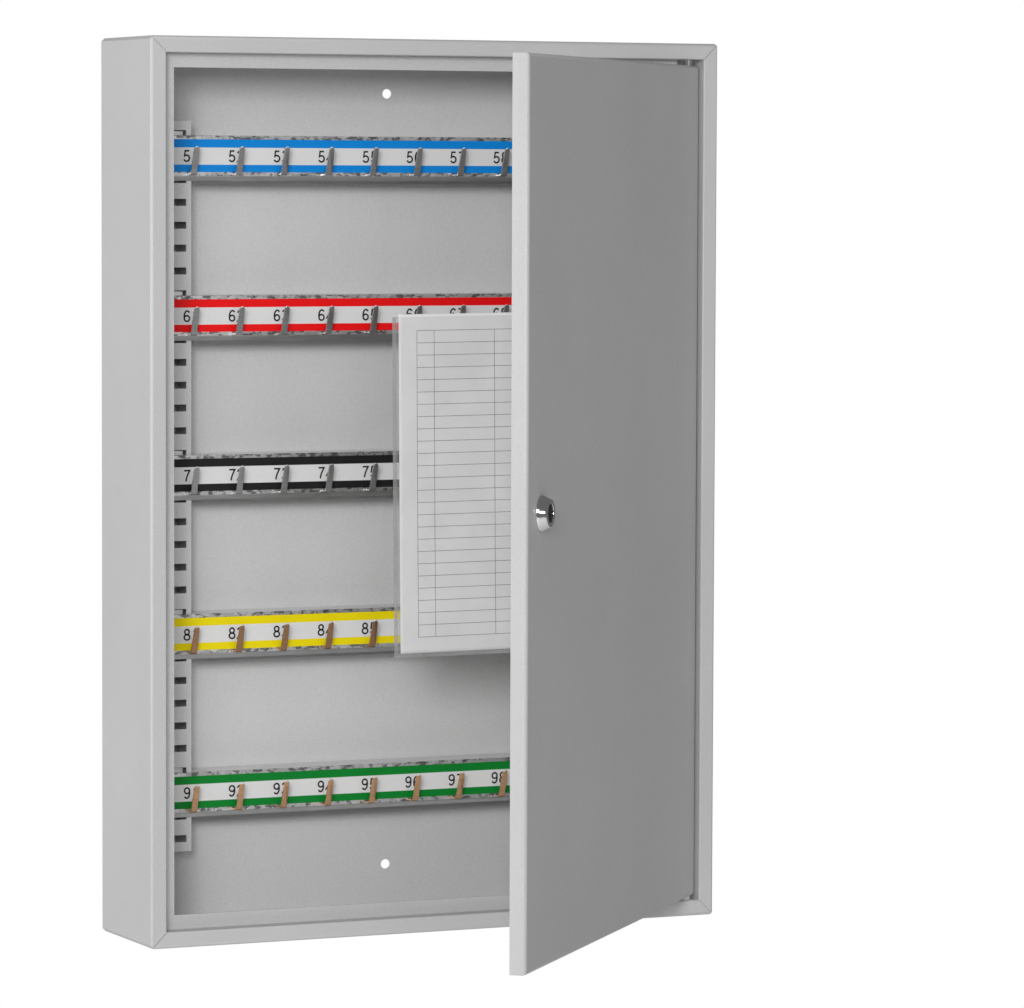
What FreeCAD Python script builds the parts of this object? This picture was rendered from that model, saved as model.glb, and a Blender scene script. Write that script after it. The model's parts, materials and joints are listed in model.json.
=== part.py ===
import FreeCAD, Part

import math
import os

import Sketcher
from FreeCAD import Placement, Rotation, Vector

# Wall key cabinet: a welded sheet-steel case with an inset door, five hook rails hung in two
# slotted uprights, a cam lock and an index sleeve.  Millimetres.  +Z is up, +X is to the right
# of somebody facing the cabinet, the front faces -Y, and the origin is the middle of the back
# face, halfway between the two wall holes.  The door is modelled standing open.

DIMENSIONS = {
    # case
    "case_width": 380,
    "case_tall": 550,
    "case_deep": 85,
    "sheet_thick": 1,
    "flange_wide": 10,
    "recess_deep": 11.3,
    "stop_edge": 18.7,
    "stop_relief": 23.5,
    "corner_chamfer": 2,
    "front_bend": 2,
    "fold_bend": 0.8,
    "seam_deep": 0.7,
    "seam_half": 0.3,
    "wall_hole_dia": 6,
    "wall_hole_spacing": 486,
    # door and its pivots
    "door_gap": 3,
    "door_top_gap": 3.8,
    "door_foot_gap": 2.4,
    "door_thick": 10,
    "door_bend": 2,
    "pivot_inset": 18,
    "pivot_setback": 5.5,
    "pivot_dia": 4,
    "pivot_head_dia": 7,
    "pivot_head_thick": 1.5,
    "pivot_reach": 12,
    "bush_dia": 6,
    "bush_flange_dia": 7.6,
    "bush_flange_thick": 1.2,
    "bush_wall_reach": 3,
    "running_fit": 0.08,
    "open_angle": 47.5,
    # uprights and their slots
    "upright_edge": 50,
    "upright_wide": 20,
    "upright_face": 23,
    "upright_tall": 450,
    "slot_count": 32,
    "slot_pitch": 14,
    "slot_wide": 13.4,
    "slot_tall": 4.2,
    # hook rails
    "rail_count": 5,
    "rail_step": 7,
    "rail_half": 170,
    "rail_play": 0.3,
    "rail_top": 1.1,
    "rail_foot": 26.4,
    "hem_foot": 28.8,
    "hem_thick": 0.35,
    "lip_drop": 1.9,
    "upright_play": 1,
    "panel_play": 1,
    "tab_wide": 12,
    "tab_reach": 3,
    "tab_nose_down": 1.2,
    "tab_nose_up": 2.6,
    "hook_count": 10,
    "hook_first": 49,
    "hook_pitch": 29.8,
    "hook_wide": 4.2,
    "hook_shoulder_wide": 3.2,
    "hook_shoulder": 9,
    "hook_tip_wide": 1,
    "hook_base": 24.2,
    "hook_tip": 7.5,
    "hook_reach": 5.5,
    "hook_lean": 6.2,
    "window_tall": 20,
    # number strips
    "strip_half": 168,
    "strip_thick": 0.3,
    "strip_head": 3.4,
    "strip_foot": 23.4,
    # cam lock
    "lock_inset": 25,
    "lock_base_dia": 22,
    "lock_face_dia": 16,
    "lock_proud": 6,
    "barrel_dia": 16,
    "barrel_reach": 11.7,
    "nut_flats": 21,
    "nut_thick": 3.5,
    "plug_dia": 11,
    "plug_sink": 0.3,
    "keyway_wide": 1.6,
    "keyway_tall": 8,
    "keyway_deep": 14,
    "wafer_count": 4,
    "wafer_thick": 1,
    "wafer_pitch": 2.6,
    "wafer_first": 4,
    "wafer_play": 0.1,
    "wafer_wide": 5,
    "wafer_tall": 9,
    "tail_square": 6,
    "cam_thick": 1.5,
    "cam_wide": 14,
    "cam_nose_wide": 11,
    "cam_reach": 27,
    "cam_taper_start": 12,
    "cam_taper_end": 17,
    "washer_dia": 8,
    "washer_thick": 0.6,
    "screw_dia": 4,
    "screw_head_dia": 6.5,
    "screw_head_tall": 2.2,
    "screw_head_bevel": 0.7,
    "screw_deep": 4.5,
    "screw_play": 0.5,
    "drive_half": 2,
    "drive_arm": 0.5,
    "drive_deep": 1.2,
    # index sleeve
    "sleeve_spine": 60.6,
    "sleeve_wide": 183.5,
    "sleeve_tall": 206.6,
    "sleeve_thick": 0.9,
    "sleeve_film": 0.25,
    "sleeve_weld": 2.5,
    "sleeve_corner": 5,
    "sleeve_start": 0.6,
    "sleeve_above": 108.5,
    "sleeve_off_door": 3.2,
    "sleeve_tilt": 0.55,
    "paper_wide": 148,
    "paper_tall": 205.5,
    "paper_thick": 0.2,
    "paper_inset": 4.2,
    "spine_strip_wide": 12,
    "spine_strip_thick": 1,
}

RAIL_COLOURS = ("blue", "red", "black", "yellow", "green")

doc = FreeCAD.newDocument("KeyCabinet")
sheet = doc.addObject("Spreadsheet::Sheet", "Dims")
for row, (alias, number) in enumerate(DIMENSIONS.items(), start=1):
    sheet.set(f"A{row}", alias)
    sheet.set(f"B{row}", str(number))
    sheet.setAlias(f"B{row}", alias)
doc.recompute()


class Size:
    """A length with its number and the spreadsheet expression that gives it."""

    def __init__(self, number, text):
        self.number = number
        self.text = text

    @staticmethod
    def of(value):
        return value if isinstance(value, Size) else Size(float(value), repr(float(value)))

    def _join(self, sign, other, number):
        return Size(number, f"({self.text} {sign} {Size.of(other).text})")

    def __add__(self, other):
        return self._join("+", other, self.number + Size.of(other).number)

    def __sub__(self, other):
        return self._join("-", other, self.number - Size.of(other).number)

    def __mul__(self, other):
        return self._join("*", other, self.number * Size.of(other).number)

    def __truediv__(self, other):
        return self._join("/", other, self.number / Size.of(other).number)

    def __neg__(self):
        return Size(-self.number, f"(0 - {self.text})")

    def __radd__(self, other):
        return Size.of(other) + self

    def __rsub__(self, other):
        return Size.of(other) - self


def dim(alias):
    return Size(float(sheet.get(alias)), f"Dims.{alias}")


def count(alias):
    return int(sheet.get(alias))


ZERO = Size(0.0, "0")
SHEET = dim("sheet_thick")
HALF_WIDE = dim("case_width") / 2
HALF_TALL = dim("case_tall") / 2
DEEP = dim("case_deep")
OPENING_HALF_WIDE = HALF_WIDE - dim("flange_wide")
OPENING_HALF_TALL = HALF_TALL - dim("flange_wide")
DOOR_TOP = OPENING_HALF_TALL - dim("door_top_gap")
DOOR_FOOT = dim("door_foot_gap") - OPENING_HALF_TALL
PIVOT_X = HALF_WIDE - dim("pivot_inset")
PIVOT_Y = dim("pivot_setback") - DEEP
# the door's own frame has the pivot axis as its origin and is lined up with the closed door
DOOR_FRONT = -dim("pivot_setback")
DOOR_INSIDE = DOOR_FRONT + SHEET
DOOR_REAR = DOOR_FRONT + dim("door_thick")
DOOR_FREE_END = -(PIVOT_X + OPENING_HALF_WIDE - dim("door_gap"))
DOOR_HINGE_END = OPENING_HALF_WIDE - dim("door_gap") - PIVOT_X
LOCK_X = DOOR_FREE_END + dim("lock_inset")

DOOR_FRAME = Placement(
    Vector(PIVOT_X.number, PIVOT_Y.number, 0),
    Rotation(Vector(0, 0, 1), float(sheet.get("open_angle"))),
)
parts = []


# ---------------------------------------------------------------- drawing helpers


def new_body(label, placement=Placement()):
    body = doc.addObject("PartDesign::Body", label)
    body.Label = label
    body.Placement = placement
    parts.append(body)
    return body


def origin_feature(body, role):
    return next(item for item in body.Origin.OriginFeatures if item.Role == role)


def sketch_on(body, role, name, offset=ZERO):
    sketch = body.newObject("Sketcher::SketchObject", f"{body.Label}_{name}")
    sketch.AttachmentSupport = [(origin_feature(body, role), "")]
    sketch.MapMode = "FlatFace"
    sketch.setExpression("AttachmentOffset.Base.z", offset.text)
    return sketch


def bind_constraint(sketch, constraint, name, size):
    sketch.renameConstraint(sketch.addConstraint(constraint), name)
    sketch.setExpression(f"Constraints.{name}", size.text)


def place_point(sketch, geometry, vertex, point):
    for kind, size in zip(("DistanceX", "DistanceY"), point):
        constraint = Sketcher.Constraint(kind, -1, 1, geometry, vertex, size.number)
        bind_constraint(sketch, constraint, f"{kind}_{geometry}", size)


def draw_polygon(sketch, points):
    points = [(Size.of(x), Size.of(y)) for x, y in points]
    first = sketch.GeometryCount
    total = len(points)
    for here, there in zip(points, points[1:] + points[:1]):
        start = Vector(here[0].number, here[1].number, 0)
        stop = Vector(there[0].number, there[1].number, 0)
        sketch.addGeometry(Part.LineSegment(start, stop), False)
    for index in range(total):
        following = first + (index + 1) % total
        sketch.addConstraint(Sketcher.Constraint("Coincident", first + index, 2, following, 1))
    for index, point in enumerate(points):
        place_point(sketch, first + index, 1, point)


def draw_rectangle(sketch, left, right, low, high):
    draw_polygon(sketch, [(left, low), (right, low), (right, high), (left, high)])


def draw_circle(sketch, centre, diameter):
    centre = tuple(Size.of(value) for value in centre)
    middle = Vector(centre[0].number, centre[1].number, 0)
    radius = diameter / 2
    index = sketch.addGeometry(Part.Circle(middle, Vector(0, 0, 1), radius.number), False)
    place_point(sketch, index, 3, centre)
    constraint = Sketcher.Constraint("Radius", index, radius.number)
    bind_constraint(sketch, constraint, f"Radius_{index}", radius)


def extrude(kind, body, sketch, length, reverse):
    feature = body.newObject(f"PartDesign::{kind}", f"{sketch.Name}_{kind.lower()}")
    feature.Profile = sketch
    feature.setExpression("Length", length.text)
    feature.Reversed = reverse
    sketch.Visibility = False
    body.Tip = feature
    doc.recompute()
    return feature


def pad(body, sketch, length, reverse=False):
    return extrude("Pad", body, sketch, length, reverse)


def pocket(body, sketch, length, reverse=False):
    before = body.Shape.Volume
    feature = extrude("Pocket", body, sketch, length, reverse)
    if not body.Shape.Volume < before - 1e-6:
        raise RuntimeError(f"{feature.Name} cuts nothing")
    return feature


def turned(label, placement, profile):
    """A turned piece: profile is (radius, height) points, spun round its own Z axis."""
    body = new_body(label, placement)
    sketch = sketch_on(body, "XZ_Plane", "profile")
    draw_polygon(sketch, profile)
    spin = body.newObject("PartDesign::Revolution", f"{label}_turn")
    spin.Profile = sketch
    spin.ReferenceAxis = (sketch, ["V_Axis"])
    spin.Angle = 360
    body.Tip = spin
    doc.recompute()
    return body


def repeat(body, originals, role, length, total):
    pattern = body.newObject("PartDesign::LinearPattern", f"{originals[0].Name}_row")
    pattern.Originals = originals
    pattern.Direction = (origin_feature(body, role), [""])
    pattern.setExpression("Length", length.text)
    pattern.Occurrences = total
    body.Tip = pattern
    doc.recompute()
    return pattern


def round_edges(body, radius, wanted):
    """Fillets the edges of the body's tip for which wanted(edge) is true."""
    tip = body.Tip
    names = [f"Edge{n}" for n, edge in enumerate(tip.Shape.Edges, start=1) if wanted(edge)]
    if not names:
        raise RuntimeError(f"no edge to round on {body.Label}")
    feature = body.newObject("PartDesign::Fillet", f"{tip.Name}_round")
    feature.Base = (tip, names)
    feature.setExpression("Radius", radius.text)
    body.Tip = feature
    doc.recompute()


def close(value, target):
    return abs(value - target) < 1e-4


def box_of(edge):
    box = edge.BoundBox
    return (box.XMin, box.XMax), (box.YMin, box.YMax), (box.ZMin, box.ZMax)


# ---------------------------------------------------------------- case


def frame_side(label, half_span, half_length, turn, has_stop=True):
    """One bent profile of the case: wall, front flange, return and door stop.

    It is drawn as the left side and turned about Y into its place.  Its ends are mitred at 45
    degrees, with a shallow step along the mitre where the weld has been dressed, and the outer
    corners are ground off.  The hinge side has no stop, because the back corner of the door
    swings through there.
    """
    body = new_body(label, Placement(Vector(), Rotation(Vector(0, 1, 0), turn)))
    section = sketch_on(body, "XY_Plane", "section", -half_length)
    outer = -half_span
    front = -DEEP
    flange = outer + dim("flange_wide")
    recess = front + dim("recess_deep")
    stop = outer + dim("stop_edge")
    stop_face = recess - SHEET
    inward_end = [(stop, stop_face), (stop, recess)] if has_stop else []
    draw_polygon(section, [
        (outer, front),
        (flange, front),
        (flange, stop_face if has_stop else recess),
        *inward_end,
        (flange - SHEET, recess),
        (flange - SHEET, front + SHEET),
        (outer + SHEET, front + SHEET),
        (outer + SHEET, 0),
        (outer, 0),
    ])
    pad(body, section, half_length * 2)
    for radius, across in ((dim("front_bend"), outer), (dim("fold_bend"), flange)):

        def bent_edge(edge):
            (left, right), (near, far), _ = box_of(edge)
            return close(left, across.number) and close(right, across.number) \
                and close(near, front.number) and close(far, front.number)

        round_edges(body, radius, bent_edge)
    reach = dim("stop_edge") + 1
    for side, name in ((1, "upper"), (-1, "lower")):
        tip = half_length * side
        miss = Size.of(side)
        mitre = sketch_on(body, "XZ_Plane", f"{name}_mitre")
        draw_polygon(mitre, [
            (outer - miss * side, tip + miss),
            (outer + reach, tip - reach * side),
            (outer + reach, tip + miss),
        ])
        pocket(body, mitre, DEEP, reverse=True)
        seam = sketch_on(body, "XZ_Plane", f"{name}_seam", DEEP - dim("seam_deep"))
        shift = dim("seam_half") * side
        draw_polygon(seam, [
            (outer - 1, tip + miss - shift),
            (outer + reach, tip - reach * side - shift),
            (outer + reach, tip + miss - shift),
        ])
        pocket(body, seam, dim("seam_deep"), reverse=True)
        ground = dim("corner_chamfer")
        corner = sketch_on(body, "XZ_Plane", f"{name}_corner")
        draw_polygon(corner, [
            (outer - miss * side, tip - (ground + 1) * side),
            (outer + ground + 1, tip + miss),
            (outer - miss * side, tip + miss),
        ])
        pocket(body, corner, DEEP, reverse=True)
    return body


def fit_for_pivot(body, end_sign):
    """The pivot's hole in the top or bottom profile, and its stop cut back for the door's corner.

    Both are in the profile's own frame, where its length runs along Z.
    """
    hole = sketch_on(body, "YZ_Plane", "pivot_hole", -(OPENING_HALF_TALL + SHEET))
    draw_circle(hole, (PIVOT_Y, PIVOT_X * end_sign), dim("pivot_dia"))
    pocket(body, hole, SHEET, reverse=True)
    relief = sketch_on(body, "XZ_Plane", "stop_relief", DEEP - dim("recess_deep"))
    near = (HALF_WIDE - dim("stop_relief")) * end_sign
    far = HALF_WIDE * end_sign
    draw_rectangle(relief, -OPENING_HALF_TALL, dim("stop_edge") + 1 - HALF_TALL, near, far)
    pocket(body, relief, SHEET, reverse=True)


def back_panel():
    body = new_body("back_panel")
    face = sketch_on(body, "XZ_Plane", "face")
    half_wide = HALF_WIDE - SHEET
    half_tall = HALF_TALL - SHEET
    draw_rectangle(face, -half_wide, half_wide, -half_tall, half_tall)
    pad(body, face, SHEET)
    holes = sketch_on(body, "XZ_Plane", "wall_holes")
    for side in (1, -1):
        draw_circle(holes, (ZERO, dim("wall_hole_spacing") / 2 * side), dim("wall_hole_dia"))
    pocket(body, holes, SHEET, reverse=True)


def case():
    back_panel()
    frame_side("left_side", HALF_WIDE, HALF_TALL, 0)
    frame_side("right_side", HALF_WIDE, HALF_TALL, 180, has_stop=False)
    top = frame_side("top_side", HALF_TALL, HALF_WIDE, 90)
    bottom = frame_side("bottom_side", HALF_TALL, HALF_WIDE, -90)
    fit_for_pivot(top, 1)
    fit_for_pivot(bottom, -1)


# ---------------------------------------------------------------- uprights and rails


def upright(label, side):
    """A channel welded to the back panel by its edges, with a ladder of slots in its face."""
    body = new_body(label)
    face = -dim("upright_face")
    inner = (HALF_WIDE - dim("upright_edge")) * side
    outer = inner + dim("upright_wide") * side
    half_tall = dim("upright_tall") / 2
    section = sketch_on(body, "XY_Plane", "section", -half_tall)
    wall = SHEET * side
    draw_polygon(section, [
        (inner, face),
        (outer, face),
        (outer, -SHEET),
        (outer - wall, -SHEET),
        (outer - wall, face + SHEET),
        (inner + wall, face + SHEET),
        (inner + wall, -SHEET),
        (inner, -SHEET),
    ])
    pad(body, section, dim("upright_tall"))
    middle = (inner + outer) / 2
    lowest = -dim("slot_pitch") * (count("slot_count") - 1) / 2
    slot = sketch_on(body, "XZ_Plane", "slot", dim("upright_face"))
    half_slot = dim("slot_wide") / 2
    half_high = dim("slot_tall") / 2
    draw_rectangle(slot, middle - half_slot, middle + half_slot, lowest - half_high, lowest + half_high)
    cut = pocket(body, slot, SHEET, reverse=False)
    ladder = dim("slot_pitch") * (count("slot_count") - 1)
    repeat(body, [cut], "Z_Axis", ladder, count("slot_count"))


def rail_level(index):
    top = dim("slot_pitch") * (count("slot_count") - 1) / 2
    return top - dim("slot_pitch") * (dim("rail_step") * index)


def hook_rail(colour, index):
    """A folded rail: plate, top flange, turned-back lip, hanging tabs and ten lanced hooks.

    Heights are measured from the middle of the slot that the rail hangs in.
    """
    level = rail_level(index)
    body = new_body(f"hook_rail_{colour}", Placement(Vector(0, 0, level.number), Rotation()))
    plate_back = -dim("upright_face") - dim("rail_play")
    plate_front = plate_back - SHEET
    top = -dim("rail_top")
    foot = -dim("rail_foot")
    hem = -dim("hem_foot")
    hem_front = plate_back - dim("hem_thick")
    drop = dim("lip_drop")
    half = dim("rail_half")
    inner_half = HALF_WIDE - dim("upright_edge") - dim("upright_play")
    plate = sketch_on(body, "XZ_Plane", "plate", -plate_back)
    draw_rectangle(plate, -half, half, foot, top)
    pad(body, plate, SHEET)
    # the thinned hem, and the top flange and lip that are short enough to pass the uprights
    fold = sketch_on(body, "YZ_Plane", "fold", -inner_half)
    draw_rectangle(fold, plate_front, -(SHEET + dim("panel_play")), top - SHEET, top)
    pad(body, fold, inner_half * 2)
    edge = sketch_on(body, "YZ_Plane", "hem", -half)
    draw_polygon(edge, [(plate_front, foot), (plate_back, foot), (plate_back, hem), (hem_front, hem)])
    pad(body, edge, half * 2)
    lip = sketch_on(body, "YZ_Plane", "lip", -inner_half)
    draw_polygon(lip, [
        (hem_front, hem),
        (plate_front, foot),
        (plate_back, foot),
        (plate_back, hem),
        (plate_back + drop, hem + SHEET - drop),
        (hem_front + drop, hem - drop),
    ])
    pad(body, lip, inner_half * 2)
    # tabs that pass through the uprights' slots, each with a nose standing behind the slot
    middle = HALF_WIDE - dim("upright_edge") + dim("upright_wide") / 2
    for side, name in ((-1, "left"), (1, "right")):
        tab = sketch_on(body, "YZ_Plane", f"{name}_tab", middle * side - dim("tab_wide") / 2)
        nose_back = plate_back + dim("tab_reach") + SHEET * 2
        draw_polygon(tab, [
            (plate_front, top),
            (plate_front, top - SHEET),
            (nose_back - SHEET, top - SHEET),
            (nose_back - SHEET, top - SHEET - dim("tab_nose_down")),
            (nose_back, top - SHEET - dim("tab_nose_down")),
            (nose_back, top + dim("tab_nose_up")),
            (nose_back - SHEET, top + dim("tab_nose_up")),
            (nose_back - SHEET, top),
        ])
        pad(body, tab, dim("tab_wide"))
    # first hook on the left and the window that it was lanced from, then the row
    first = dim("hook_first") - HALF_WIDE
    half_hook = dim("hook_wide") / 2
    base = -dim("hook_base")
    hook = sketch_on(body, "YZ_Plane", "hook", first - half_hook)
    elbow = plate_front - dim("hook_reach")
    tip = elbow - dim("hook_lean")
    draw_polygon(hook, [
        (plate_back, base),
        (plate_back, base - SHEET),
        (elbow + SHEET * 0.4, base - SHEET),
        (elbow - SHEET * 0.3, base - SHEET * 0.3),
        (tip, -dim("hook_tip")),
        (tip + SHEET, -dim("hook_tip")),
        (elbow + SHEET * 0.8, base),
    ])
    hook_pad = pad(body, hook, dim("hook_wide"))
    taper = sketch_on(body, "XZ_Plane", "hook_taper", -elbow - SHEET)
    half_tip = dim("hook_tip_wide") / 2
    half_shoulder = dim("hook_shoulder_wide") / 2
    for side in (-1, 1):
        draw_polygon(taper, [
            (first + half_hook * side, base),
            (first + half_shoulder * side, -dim("hook_shoulder")),
            (first + half_tip * side, -dim("hook_tip")),
            (first + (half_hook + 1) * side, -dim("hook_tip")),
            (first + (half_hook + 1) * side, base),
        ])
    taper_cut = pocket(body, taper, dim("hook_lean") + SHEET * 2, reverse=True)
    window = sketch_on(body, "XZ_Plane", "window", -plate_back)
    draw_rectangle(window, first - half_hook, first + half_hook, base, base + dim("window_tall"))
    window_cut = pocket(body, window, SHEET, reverse=True)
    row = dim("hook_pitch") * (count("hook_count") - 1)
    repeat(body, [hook_pad, taper_cut, window_cut], "X_Axis", row, count("hook_count"))


def number_strip(colour, index):
    body = new_body(f"number_strip_{colour}", Placement(Vector(0, 0, rail_level(index).number), Rotation()))
    plate_front = dim("upright_face") + dim("rail_play") + SHEET
    face = sketch_on(body, "XZ_Plane", "face", plate_front)
    half = dim("strip_half")
    draw_rectangle(face, -half, half, -dim("strip_foot"), -dim("strip_head"))
    pad(body, face, dim("strip_thick"))


# ---------------------------------------------------------------- door and pivots


def door_panel():
    """A shallow pan with its four edges turned in, pierced for the pivots and the lock."""
    body = new_body("door_panel", DOOR_FRAME)
    outline = sketch_on(body, "XZ_Plane", "outline", -DOOR_REAR)
    draw_rectangle(outline, DOOR_FREE_END, DOOR_HINGE_END, DOOR_FOOT, DOOR_TOP)
    pad(body, outline, dim("door_thick"))
    hollow = sketch_on(body, "XZ_Plane", "hollow", -DOOR_REAR)
    left = DOOR_FREE_END + SHEET
    right = DOOR_HINGE_END - SHEET
    draw_rectangle(hollow, left, right, DOOR_FOOT + SHEET, DOOR_TOP - SHEET)
    pocket(body, hollow, dim("door_thick") - SHEET, reverse=True)
    front = DOOR_FRONT.number

    def front_edge(edge):
        (_, _), (near, far), (_, _) = box_of(edge)
        return close(near, front) and close(far, front)

    round_edges(body, dim("door_bend"), front_edge)
    pivots = sketch_on(body, "XY_Plane", "pivots", -OPENING_HALF_TALL)
    draw_circle(pivots, (ZERO, ZERO), dim("bush_dia"))
    pocket(body, pivots, OPENING_HALF_TALL * 2, reverse=True)
    lock_hole = sketch_on(body, "XZ_Plane", "lock_hole", -DOOR_FRONT)
    draw_circle(lock_hole, (LOCK_X, ZERO), dim("barrel_dia") + dim("running_fit"))
    pocket(body, lock_hole, SHEET, reverse=False)


def pivot(label, side):
    """A headed pin riveted in the return of the case, standing into the door."""
    turn = Rotation(Vector(1, 0, 0), 0 if side > 0 else 180)
    place = Placement(Vector(PIVOT_X.number, PIVOT_Y.number, 0), turn)
    radius = dim("pivot_dia") / 2
    head = dim("pivot_head_dia") / 2
    seat = OPENING_HALF_TALL + SHEET
    turned(label, place, [
        (ZERO, OPENING_HALF_TALL - dim("pivot_reach")),
        (radius, OPENING_HALF_TALL - dim("pivot_reach")),
        (radius, seat),
        (head, seat),
        (head, seat + dim("pivot_head_thick")),
        (ZERO, seat + dim("pivot_head_thick")),
    ])


def top_pivot_bush():
    """The upper bush, pushed up into the door from inside; the pin passes through it."""
    bore = dim("pivot_dia") / 2 + dim("running_fit")
    body_radius = dim("bush_dia") / 2
    flange = dim("bush_flange_dia") / 2
    seat = DOOR_TOP - SHEET
    foot = seat - dim("bush_flange_thick")
    turned("top_pivot_bush", DOOR_FRAME, [
        (bore, foot), (flange, foot), (flange, seat),
        (body_radius, seat), (body_radius, DOOR_TOP), (bore, DOOR_TOP),
    ])


def bottom_pivot_bush():
    """The lower bush, whose flange fills the gap under the door and carries its weight."""
    bore = dim("pivot_dia") / 2 + dim("running_fit")
    body_radius = dim("bush_dia") / 2
    flange = dim("bush_flange_dia") / 2
    head = DOOR_FOOT + SHEET + dim("bush_wall_reach")
    turned("bottom_pivot_bush", DOOR_FRAME, [
        (bore, -OPENING_HALF_TALL), (flange, -OPENING_HALF_TALL), (flange, DOOR_FOOT),
        (body_radius, DOOR_FOOT), (body_radius, head), (bore, head),
    ])


def door():
    door_panel()
    pivot("top_pivot_pin", 1)
    pivot("bottom_pivot_pin", -1)
    top_pivot_bush()
    bottom_pivot_bush()


# ---------------------------------------------------------------- cam lock


def lock_frame():
    """The lock's own frame: +Z points out of the door's face, which is its zero level."""
    facing = Placement(Vector(LOCK_X.number, DOOR_FRONT.number, 0), Rotation(Vector(1, 0, 0), 90))
    return DOOR_FRAME.multiply(facing)


def lock_housing():
    barrel = dim("barrel_dia") / 2
    bore = dim("plug_dia") / 2 + dim("running_fit")
    proud = dim("lock_proud")
    turned("lock_housing", lock_frame(), [
        (bore, proud),
        (dim("lock_face_dia") / 2, proud),
        (dim("lock_base_dia") / 2, 1),
        (dim("lock_base_dia") / 2, ZERO),
        (barrel, ZERO),
        (barrel, -dim("barrel_reach")),
        (bore, -dim("barrel_reach")),
    ])


def lock_nut():
    body = new_body("lock_nut", lock_frame())
    hexagon = sketch_on(body, "XY_Plane", "hexagon", -SHEET - dim("nut_thick"))
    corner = dim("nut_flats") / 2 / math.cos(math.radians(30))
    points = []
    for step in range(6):
        angle = math.radians(60 * step + 30)
        points.append((corner * math.cos(angle), corner * math.sin(angle)))
    draw_polygon(hexagon, points)
    pad(body, hexagon, dim("nut_thick"))
    thread = sketch_on(body, "XY_Plane", "thread", -SHEET - dim("nut_thick"))
    draw_circle(thread, (ZERO, ZERO), dim("barrel_dia") + dim("running_fit"))
    pocket(body, thread, dim("nut_thick"), reverse=True)


def wafer_depth(index):
    return dim("lock_proud") - dim("wafer_first") - dim("wafer_pitch") * index


def lock_plug():
    """The turning core, with its keyway, wafer slots and the squared tail for the cam."""
    radius = dim("plug_dia") / 2
    face = dim("lock_proud") - dim("plug_sink")
    tail_end = -dim("barrel_reach") - dim("cam_thick")
    tail = dim("tail_square")
    body = turned("lock_plug", lock_frame(), [
        (ZERO, face),
        (radius, face),
        (radius, -dim("barrel_reach")),
        (ZERO, -dim("barrel_reach")),
    ])
    square = sketch_on(body, "XY_Plane", "tail", -dim("barrel_reach"))
    draw_rectangle(square, -tail / 2, tail / 2, -tail / 2, tail / 2)
    pad(body, square, dim("cam_thick"), reverse=True)
    keyway = sketch_on(body, "XY_Plane", "keyway", face - dim("keyway_deep"))
    half_wide = dim("keyway_wide") / 2
    half_tall = dim("keyway_tall") / 2
    draw_rectangle(keyway, -half_wide, half_wide, -half_tall, half_tall)
    pocket(body, keyway, dim("keyway_deep"), reverse=True)
    play = dim("wafer_play")
    half_wafer = dim("wafer_wide") / 2 + play
    half_high = dim("wafer_tall") / 2 + play
    slot = sketch_on(body, "XY_Plane", "wafer_slot", wafer_depth(0) - dim("wafer_thick") - play)
    draw_rectangle(slot, -half_wafer, half_wafer, -half_high, half_high)
    cut = pocket(body, slot, dim("wafer_thick") + play * 2, reverse=True)
    pattern = repeat(body, [cut], "Z_Axis", dim("wafer_pitch") * (count("wafer_count") - 1),
                     count("wafer_count"))
    pattern.Reversed = True
    doc.recompute()
    thread = sketch_on(body, "XY_Plane", "screw_hole", tail_end)
    draw_circle(thread, (ZERO, ZERO), dim("screw_dia"))
    pocket(body, thread, dim("screw_deep"), reverse=True)


def lock_wafers():
    """The four spring-loaded wafers, each pierced for the key, drawn back into the plug."""
    half_wide = dim("wafer_wide").number / 2
    tall = dim("wafer_tall").number
    key_wide = dim("keyway_wide").number
    key_tall = dim("keyway_tall").number - 2
    thick = dim("wafer_thick").number
    wafers = []
    for index in range(count("wafer_count")):
        low = wafer_depth(index).number - thick
        plate = Part.makeBox(half_wide * 2, tall, thick, Vector(-half_wide, -tall / 2, low))
        window = Part.makeBox(key_wide, key_tall, thick, Vector(-key_wide / 2, -key_tall / 2, low))
        wafers.append(plate.cut(window))
    group = doc.addObject("Part::Feature", "lock_wafers")
    group.Label = "lock_wafers"
    group.Shape = Part.makeCompound(wafers)
    group.Placement = lock_frame()
    parts.append(group)


def lock_cam():
    """A flat cam, hanging down when the lock is open; its nose turns in behind the door stop."""
    body = new_body("lock_cam", lock_frame())
    thick = dim("cam_thick")
    back = -dim("barrel_reach") - thick
    half = dim("cam_wide") / 2
    nose = dim("cam_nose_wide") / 2
    start = -dim("cam_taper_start")
    end = -dim("cam_taper_end")
    reach = -dim("cam_reach")
    outline = sketch_on(body, "XY_Plane", "outline", back)
    draw_polygon(outline, [
        (-half, half), (-half, start), (-nose, end), (-nose, reach),
        (nose, reach), (nose, end), (half, start), (half, half),
    ])
    pad(body, outline, thick)
    hole = sketch_on(body, "XY_Plane", "square_hole", back)
    tail = dim("tail_square") / 2
    draw_rectangle(hole, -tail, tail, -tail, tail)
    pocket(body, hole, thick, reverse=True)


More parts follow.
